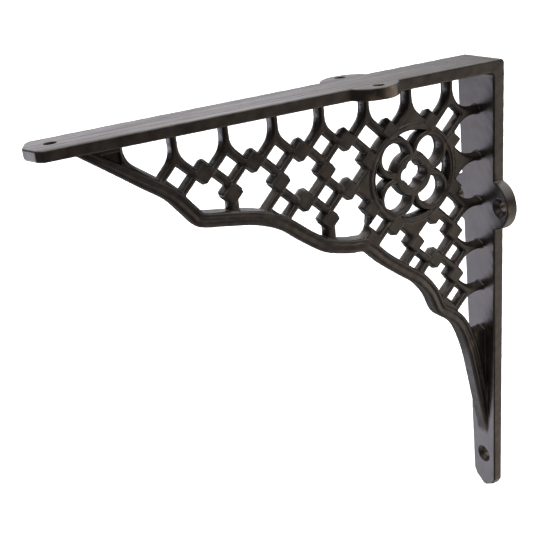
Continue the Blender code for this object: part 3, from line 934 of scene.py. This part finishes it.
@dataclass
class Casting:
    """The whole bracket, poured in one piece.

    Attributes:
        low: lowest Y and Z of the grid that the surface is drawn on.
        high: highest X, Y and Z of that grid.
        most_move: longest step by which a point settles onto the true surface.
        waves: pairs of waves that make the cast faces uneven.
        probe: depth at which the metal round a point is felt.
        quiet_wear: share of the edge wear that is left away from the rubbed spots.
        rubbed_wear: share of it in their middle.
        rubbed_face: wear of their upright faces.
        rubbed: rubbed spots.
    """

    flanges: Flanges
    rib: Rib
    tracery: Tracery
    holes: ScrewHoles
    low: Point = (-243.5, -133.0)
    high: tuple[float, float, float] = (24.6, 0.3, 132.8)
    pitch: float = 0.52
    most_triangles: int = 190_000
    most_move: float = 0.3
    flange_fillet: float = 1.0
    rib_fillet: float = 0.7
    hole_ease: float = 0.35
    ripple: float = 0.035
    waves: tuple[tuple[Wave, Wave], ...] = (
        ((0.0, 0.31, 0.17, 0.0), (-0.41, 0.0, 0.23, 1.3)),
        ((0.57, 0.0, 0.83, 0.0), (-0.37, 0.71, 0.0, 0.6)),
    )
    probe: float = 0.9
    quiet_wear: float = 0.5
    rubbed_wear: float = 1.6
    rubbed_face: float = 0.45
    rubbed: tuple[Spot, ...] = (
        (24.0, -79.0, 128.0, 15.0), (10.0, -240.0, 126.5, 4.0), (22.0, -6.0, 56.0, 6.0),
        (4.0, -16.0, -30.0, 6.0),
    )

    def distance(self, x: Array, y: Array, z: Array) -> Array:
        """Signed distance to the casting in millimetres, with the slight unevenness of a sand mould."""
        rib = np.maximum(self.rib.distance(x, y, z), past_flanges(y, z, self.tracery.flange_lap))
        body = joined(self.tracery.distance(x, y, z), rib, self.rib_fillet)
        body = joined(body, self.flanges.distance(x, y, z), self.flange_fillet)
        body = carved(body, self.holes.distance(x, y, z), self.hole_ease)
        across = np.abs(x)
        for pair in self.waves:
            first, second = (np.sin(a * across + b * y + c * z + phase) for a, b, c, phase in pair)
            body = body + self.ripple * first * second
        return body

    def slope(self, points: Array, step: float = 0.06) -> Array:
        """Direction in which the distance grows at each point, as unit vectors."""
        found = np.empty_like(points)
        for axis in range(3):
            shift = np.zeros(3)
            shift[axis] = step
            found[:, axis] = self.distance(*(points + shift).T) - self.distance(*(points - shift).T)
        length = np.linalg.norm(found, axis=1, keepdims=True)
        return found / np.maximum(length, TINY)

    def settled(self, points: Array, rounds: int) -> Array:
        """Points moved onto the true surface."""
        for _ in range(rounds):
            away = np.clip(self.distance(*points.T), -self.most_move, self.most_move)
            points = points - self.slope(points) * away[:, None]
        return points

    def build(self) -> bpy.types.Object:
        """Makes the mesh, thins it where it is flat and stores where it wears and where hollows get painted
        shade.

        Returns:
            The object, named for the casting, in place.
        """
        grid = SurfaceNet(self.low, self.high, self.pitch)
        points, faces = grid.mesh(self.distance)
        points = self.settled(points.astype(np.float64), rounds=2)
        LOG.info("surface of %d points and %d faces", len(points), len(faces))
        rough = new_mesh("rough_casting", points * MM, faces)
        helper = bpy.data.objects.new("rough_casting", rough)
        bpy.context.scene.collection.objects.link(helper)
        thin = helper.modifiers.new("thin", "DECIMATE")
        thin.ratio = min(1.0, self.most_triangles / (2.0 * len(faces)))
        graph = bpy.context.evaluated_depsgraph_get()
        mesh = bpy.data.meshes.new_from_object(helper.evaluated_get(graph))
        bpy.data.objects.remove(helper)
        bpy.data.meshes.remove(rough)
        mesh.name = "iron_casting"
        self.finish_surface(mesh)
        made = bpy.data.objects.new("iron_casting", mesh)
        bpy.context.scene.collection.objects.link(made)
        return made

    def finish_surface(self, mesh: bpy.types.Mesh) -> None:
        """Settles the thinned mesh, gives it true normals and its readings."""
        points = np.empty(len(mesh.vertices) * 3, np.float32)
        mesh.vertices.foreach_get("co", points)
        points = self.settled(points.reshape(-1, 3).astype(np.float64) / MM, rounds=1)
        mesh.vertices.foreach_set("co", (points * MM).astype(np.float32).ravel())
        mesh.update()
        normals = self.slope(points)
        for polygon in mesh.polygons:
            polygon.use_smooth = True
        mesh.normals_split_custom_set_from_vertices(normals.tolist())
        wear = 1.0 + self.distance(*(points - normals * self.probe).T) / self.probe
        near = np.zeros(len(points))
        for *middle, reach in self.rubbed:
            away = np.linalg.norm(points - middle, axis=1) / reach
            near = np.maximum(near, np.exp(-away * away))
        wear = wear * (self.quiet_wear + (self.rubbed_wear - self.quiet_wear) * near)
        wear += self.rubbed_face * near * (1.0 - np.abs(normals[:, 2]))
        # Painted shade: the deeper a point sits in a hollow or crease, the darker the material lays it.
        outer = 2.0 * self.probe
        grime = 1.0 - self.distance(*(points + normals * outer).T) / outer
        for part, values in ((Part.WEAR, wear), (Part.GRIME, grime)):
            layer = mesh.attributes.new(part.value, "FLOAT", "POINT")
            layer.data.foreach_set("value", np.clip(values, 0.0, 1.0).astype(np.float32))
        LOG.info("casting of %d points and %d triangles", len(mesh.vertices), len(mesh.polygons))


def new_mesh(name: str, points: Array, faces: Array) -> bpy.types.Mesh:
    """Mesh from points in metres and four-sided faces."""
    mesh = bpy.data.meshes.new(name)
    mesh.vertices.add(len(points))
    mesh.vertices.foreach_set("co", points.astype(np.float32).ravel())
    mesh.loops.add(faces.size)
    mesh.loops.foreach_set("vertex_index", faces.astype(np.int32).ravel())
    mesh.polygons.add(len(faces))
    mesh.polygons.foreach_set("loop_start", np.arange(0, faces.size, 4, dtype=np.int32))
    mesh.update(calc_edges=True)
    return mesh


def linear(hex_colour: str) -> tuple[float, float, float, float]:
    """Linear colour of an sRGB hex value such as #3a322c."""
    parts = [int(hex_colour[i : i + 2], 16) / 255.0 for i in (1, 3, 5)]
    made = [c / 12.92 if c <= 0.04045 else ((c + 0.055) / 1.055) ** 2.4 for c in parts]
    return (made[0], made[1], made[2], 1.0)


def add_node(tree: Tree, kind: str, values: dict | None = None,
             links: dict | None = None, **settings: object) -> bpy.types.Node:
    """Adds a node with its settings and links.

    Args:
        tree: node tree that it goes into.
        kind: Blender's name of the shader node type, without its first two words.
        values: input name or number to its value.
        links: input name or number to the output that feeds it.
        settings: the node's own properties.

    Returns:
        The node.
    """
    node = tree.nodes.new("ShaderNode" + kind)
    for name, value in settings.items():
        setattr(node, name, value)
    for name, value in (values or {}).items():
        node.inputs[name].default_value = value
    for name, source in (links or {}).items():
        tree.links.new(source, node.inputs[name])
    return node


def per_metre(size_mm: float) -> float:
    """Pattern scale whose grains have a real size."""
    return 1.0 / (size_mm * MM)


def noise(tree: Tree, place: Socket, scale: float, detail: float) -> Socket:
    """Soft noise over a place."""
    return add_node(tree, "TexNoise", {"Scale": scale, "Detail": detail}, {"Vector": place}).outputs["Fac"]


def spread(tree: Tree, value: Socket, span: Span, onto: Span, **settings: object) -> Socket:
    """Value spread from one range onto another, held at both ends."""
    values = {"From Min": span[0], "From Max": span[1], "To Min": onto[0], "To Max": onto[1]}
    return add_node(tree, "MapRange", values, {"Value": value}, **settings).outputs[0]


def combined(tree: Tree, operation: str, first: Socket, second: Socket) -> Socket:
    """Two values added or multiplied."""
    return add_node(tree, "Math", {}, {0: first, 1: second}, operation=operation).outputs[0]


@dataclass(frozen=True)
class AntiqueIron:
    """Grey cast iron with a dark brown antique finish under satin lacquer.

    The sand mould leaves a fine grain and the lacquer fills most of it, so the eye sees soft broad
    highlights on a nearly black brown. The ground shelf face keeps its lengthwise scratches, and a
    warm metal shows through where corners are rubbed. Hollows and creases are darkened towards near
    black as painted shade.
    """

    dark: str = "#2a2522"
    pale: str = "#39332e"
    # Near-black colour of the painted shade in hollows and creases.
    rubbed: str = "#8f765a"
    grime: str = "#120e0b"
    metallic: float = 0.55
    gloss: Span = (0.27, 0.36)
    mottle_span: Span = (0.3, 0.7)
    tint_span: Span = (0.14, 0.36)
    painted_shade_span: Span = (0.25, 0.8)
    painted_shade_share: Span = (0.0, 0.7)
    rub_span: Span = (0.16, 0.60)
    rub_share: Span = (0.0, 0.8)
    cloud_mm: float = 13.0
    cloud_detail: float = 4.0
    mottle_mm: float = 5.0
    fine_detail: float = 3.0
    grain_mm: float = 0.9
    grain_depth_mm: float = 0.06
    grain_strength: float = 0.5
    scratch_mm: float = 1.1
    scratch_length_mm: float = 70.0
    scratch_detail: float = 2.0
    scratch_span: Span = (0.35, 0.65)
    scratch_gloss: Span = (-0.10, 0.18)
    upward_span: Span = (0.9, 0.98)

    def build(self) -> bpy.types.Material:
        """Makes the material."""
        made = bpy.data.materials.new("antique_cast_iron")
        made.use_nodes = True
        tree = made.node_tree
        tree.nodes.clear()
        place = add_node(tree, "TexCoord").outputs["Object"]
        cloud = noise(tree, place, per_metre(self.cloud_mm), self.cloud_detail)
        mottle = noise(tree, place, per_metre(self.mottle_mm), self.fine_detail)
        tint = spread(tree, combined(tree, "MULTIPLY", cloud, mottle), self.tint_span, (0.0, 1.0))
        colour = add_node(tree, "Mix", {6: linear(self.dark), 7: linear(self.pale)}, {0: tint},
                          data_type="RGBA").outputs[2]
        # Painted shade: hollows and creases darkened towards near black.
        hollow = spread(tree, self.reading(tree, Part.GRIME), self.painted_shade_span, self.painted_shade_share)
        colour = self.covered(tree, colour, self.grime, hollow)
        edge = combined(tree, "MULTIPLY", self.reading(tree, Part.WEAR), mottle)
        colour = self.covered(tree, colour, self.rubbed, spread(tree, edge, self.rub_span, self.rub_share))
        gloss = spread(tree, mottle, self.mottle_span, self.gloss)
        gloss = combined(tree, "ADD", gloss, self.scratches(tree, place))
        grain = noise(tree, place, per_metre(self.grain_mm), self.fine_detail)
        depth = self.grain_depth_mm * MM
        bump = add_node(tree, "Bump", {"Strength": self.grain_strength, "Distance": depth}, {"Height": grain})
        shader = add_node(tree, "BsdfPrincipled", {"Metallic": self.metallic},
                          {"Base Color": colour, "Roughness": gloss, "Normal": bump.outputs[0]})
        add_node(tree, "OutputMaterial", {}, {"Surface": shader.outputs[0]})
        return made

    def reading(self, tree: Tree, part: Part) -> Socket:
        """What the mesh stores about its surface."""
        return add_node(tree, "Attribute", attribute_name=part.value).outputs["Fac"]

    def covered(self, tree: Tree, under: Socket, colour: str, share: Socket) -> Socket:
        """Colour with another one laid over a share of it."""
        return add_node(tree, "Mix", {7: linear(colour)}, {0: share, 6: under}, data_type="RGBA").outputs[2]

    def scratches(self, tree: Tree, place: Socket) -> Socket:
        """Extra roughness of the lengthwise grinding marks on the faces that look up.

        Args:
            tree: the material's node tree.
            place: the object coordinates.

        Returns:
            The output that carries the extra roughness.
        """
        across, along = per_metre(self.scratch_mm), per_metre(self.scratch_length_mm)
        drawn = add_node(tree, "VectorMath", {1: (across, along, across)}, {0: place}, operation="MULTIPLY")
        lines = noise(tree, drawn.outputs[0], 1.0, self.scratch_detail)
        normal = add_node(tree, "NewGeometry").outputs["Normal"]
        facing = add_node(tree, "SeparateXYZ", {}, {0: normal})
        upward = spread(tree, facing.outputs["Z"], self.upward_span, (0.0, 1.0))
        return combined(tree, "MULTIPLY", spread(tree, lines, self.scratch_span, self.scratch_gloss), upward)


@dataclass(frozen=True)
class PaleFloorPaint:
    """Matt off-white paint, an even ground with no gloss."""

    colour: str = "#f1f1f1"
    roughness: float = 0.9

    def build(self) -> bpy.types.Material:
        """Makes the material."""
        made = bpy.data.materials.new("pale_floor_paint")
        made.use_nodes = True
        tree = made.node_tree
        tree.nodes.clear()
        values = {"Base Color": linear(self.colour), "Roughness": self.roughness}
        shader = add_node(tree, "BsdfPrincipled", values)
        add_node(tree, "OutputMaterial", {}, {"Surface": shader.outputs[0]})
        return made


class Glow(Enum):
    """Soft light panels, each as (direction, cosines at its rim and core, strength, colour)."""

    OVERHEAD = ((0.0, 0.08, 1.0), (0.25, 0.90), 3.3, "#ffffff")
    BACK_LEFT = ((-0.94, 0.20, 0.32), (0.83, 0.985), 1.15, "#f8f5ff")
    LOW_LEFT = ((-0.68, -0.62, -0.38), (0.90, 0.975), 4.0, "#ebeeff")
    RIGHT = ((0.28, 0.84, -0.46), (0.64, 0.96), 1.9, "#fff4ea")
    FLOOR_BOUNCE = ((0.0, -0.3, -1.0), (0.55, 1.0), 0.8, "#ffffff")


@dataclass(frozen=True)
class Studio:
    """Camera, pale floor and soft light."""

    camera_mm: tuple[float, float, float] = (370.5, -307.1, 209.4)
    azimuth: float = 65.316
    elevation: float = 21.488
    roll: float = -6.397
    lens_mm: float = 58.825
    sensor_mm: float = 36.0
    floor_side: float = 60.0
    floor_gap_mm: float = 25.0
    clip_start: float = 0.01
    dim: float = 0.08

    def build(self) -> None:
        """Makes everything that is not the bracket."""
        self.add_camera()
        self.add_floor()
        self.add_light()
        bpy.context.scene.view_settings.view_transform = "Standard"

    def add_camera(self) -> None:
        """Places the camera at the photograph's viewing angle."""
        turn, rise, roll = (math.radians(a) for a in (self.azimuth, self.elevation, self.roll))
        ahead = Vector((-math.sin(turn) * math.cos(rise), math.cos(turn) * math.cos(rise), -math.sin(rise)))
        right = Vector((math.cos(turn), math.sin(turn), 0.0))
        up = right.cross(ahead)
        tilted_right = right * math.cos(roll) + up * math.sin(roll)
        tilted_up = up * math.cos(roll) - right * math.sin(roll)
        data = bpy.data.cameras.new("camera")
        data.sensor_width = self.sensor_mm
        data.lens = self.lens_mm
        data.clip_start = self.clip_start
        camera = bpy.data.objects.new("camera", data)
        facing = Matrix((tilted_right, tilted_up, -ahead)).transposed()
        camera.matrix_world = Matrix.Translation(Vector(self.camera_mm) * MM) @ facing.to_4x4()
        bpy.context.scene.collection.objects.link(camera)
        bpy.context.scene.camera = camera

    def add_floor(self) -> None:
        """Lays the floor a little below the bracket's foot, for the bracket hangs on its wall."""
        half = self.floor_side / 2.0
        height = CAD_BOX[0].z - self.floor_gap_mm * MM
        sides = ((-half, -half), (half, -half), (half, half), (-half, half))
        corners = np.array([(x, y, height) for x, y in sides])
        floor = bpy.data.objects.new("floor", new_mesh("floor", corners, np.array([(0, 1, 2, 3)])))
        floor.data.materials.append(PaleFloorPaint().build())
        floor.visible_glossy = floor.visible_diffuse = floor.visible_shadow = False
        bpy.context.scene.collection.objects.link(floor)

    def add_light(self) -> None:
        """Lights the studio from soft panels far away, drawn into the world's background."""
        world = bpy.data.worlds.new("studio")
        world.use_nodes = True
        tree = world.node_tree
        tree.nodes.clear()
        facing = add_node(tree, "TexCoord").outputs["Generated"]
        total = add_node(tree, "CombineXYZ", {i: self.dim for i in range(3)}).outputs[0]
        for glow in Glow:
            direction, cosines, strength, colour = glow.value
            toward = add_node(tree, "VectorMath", {1: tuple(Vector(direction).normalized())}, {0: facing},
                              operation="DOT_PRODUCT")
            amount = spread(tree, toward.outputs["Value"], cosines, (0.0, strength),
                            interpolation_type="SMOOTHSTEP")
            light = add_node(tree, "VectorMath", {0: linear(colour)[:3]}, {"Scale": amount},
                             operation="SCALE").outputs[0]
            total = add_node(tree, "VectorMath", {}, {0: total, 1: light}, operation="ADD").outputs[0]
        back = add_node(tree, "Background", {}, {"Color": total})
        add_node(tree, "OutputWorld", {}, {"Surface": back.outputs[0]})
        bpy.context.scene.world = world


def main() -> None:
    """Builds the studio and the casting."""
    logging.basicConfig(level=logging.INFO, format="%(name)s: %(message)s")
    Studio().build()
    net = Net()
    rib = Rib(net)
    flanges = Flanges()
    casting = Casting(flanges, rib, Tracery(net, rib, Rosette(net)), ScrewHoles(flanges))
    piece = casting.build()
    piece.data.materials.append(AntiqueIron().build())
    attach(piece, "root")
    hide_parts("bracket_casting")
    LOG.info("built %s", piece.name)


if __name__ == "__main__":
    main()
